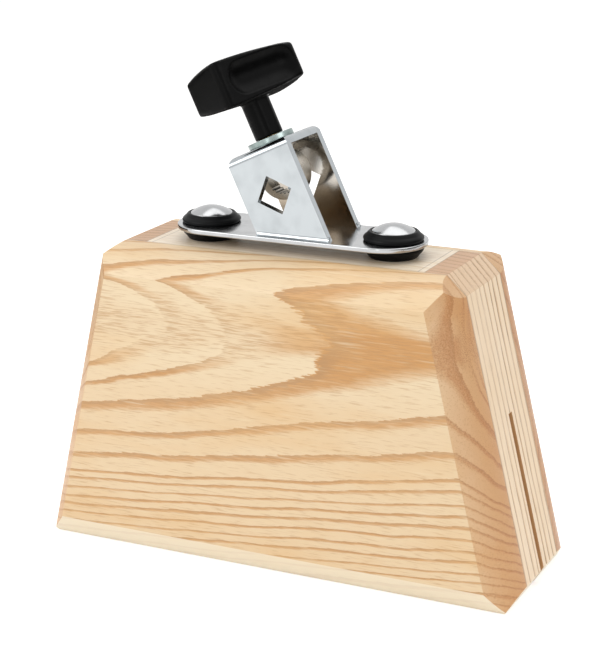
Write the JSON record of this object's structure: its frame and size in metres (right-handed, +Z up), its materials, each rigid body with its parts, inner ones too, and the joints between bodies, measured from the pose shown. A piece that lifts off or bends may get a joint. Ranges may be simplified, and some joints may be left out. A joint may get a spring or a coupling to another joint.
{
  "type": "woodblock",
  "caption": "Hollow wooden block with slanted ends and a sound kerf, carried on rubber grommets by a plate with a leaning eye-bolt rod clamp and a wing handle.",
  "frame": {"origin": "middle of the block's base", "axes": "+X along the block to the right, -Y out of the front face, +Z up"},
  "size_m": [0.1872, 0.069, 0.1853],
  "materials": {
    "ash_board": "satin",
    "ash_rail": "satin",
    "ash_stile": "satin",
    "chromed_steel": "polished",
    "plain_steel": "satin",
    "zinc_plated_steel": "satin",
    "brass": "satin",
    "black_rubber": "satin",
    "black_plastic": "satin"
  },
  "bodies": {
    "block": {"front_board": "ash_board", "back_board": "ash_board", "top_rail": "ash_rail", "left_stile": "ash_stile", "right_stile": "ash_stile", "left_joint_strip": "ash_rail", "right_joint_strip": "ash_rail", "bottom_rail_front": "ash_rail", "bottom_rail_back": "ash_rail", "mounting_plate": "chromed_steel", "left_grommet": "black_rubber", "right_grommet": "black_rubber", "left_mount_bolt": "chromed_steel", "right_mount_bolt": "chromed_steel", "left_spacer_sleeve": "plain_steel", "right_spacer_sleeve": "plain_steel", "left_threaded_insert": "brass", "right_threaded_insert": "brass", "clamp_bracket": "chromed_steel", "clamp_washer": "zinc_plated_steel"},
    "wing_nut": {"wing_handle": "black_plastic", "handle_insert": "brass"},
    "eye": {"eye_bolt": "plain_steel"}
  },
  "joints": [
    {"name": "wing_nut_turn", "type": "hinge", "parent": "block", "child": "wing_nut", "pos_m": [0.0034, 0, 0.12], "axis": [-0.4226, 0, 0.9063], "range_deg": [0, 2880]},
    {"name": "eye_lift", "type": "slide", "parent": "block", "child": "eye", "axis": [0.4226, 0, -0.9063], "range_m": [0, 0.008]}
  ],
  "couplings": [
    {"joint": "eye_lift", "follows": "wing_nut_turn", "m_per_rad": 0.00015915}
  ]
}
